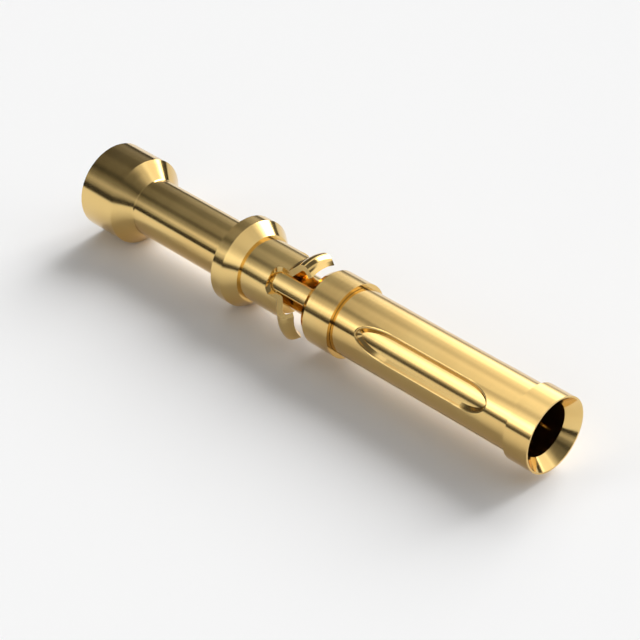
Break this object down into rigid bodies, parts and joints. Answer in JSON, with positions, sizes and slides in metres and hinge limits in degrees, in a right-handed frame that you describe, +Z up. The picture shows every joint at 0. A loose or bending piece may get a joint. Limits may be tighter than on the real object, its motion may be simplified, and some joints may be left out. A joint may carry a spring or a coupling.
{
  "type": "crimp_socket_contact",
  "caption": "Gold-plated turned crimp socket contact with an insulation cup, a flange, a rolled retention clip with flared tines, a key rib and a dimpled contact spring sleeve.",
  "frame": {"origin": "On the contact's axis, in the plane of its rear face where the wire enters.", "axes": "+X runs along the contact's axis from the wire end to the mouth, +Z is up with the contact lying, +Y completes the right-handed frame."},
  "size_m": [0.0227, 0.0036, 0.0036],
  "materials": {
    "gold_plated_brass": "bright gold plating, fine turning marks",
    "gold_plated_clip": "bright gold plating on rolled sheet",
    "gold_plated_spring": "bright gold plating on rolled sheet"
  },
  "bodies": {
    "root": {"contact_body": "gold_plated_brass", "retention_clip": "gold_plated_clip", "contact_spring_sleeve": "gold_plated_spring"}
  },
  "joints": []
}
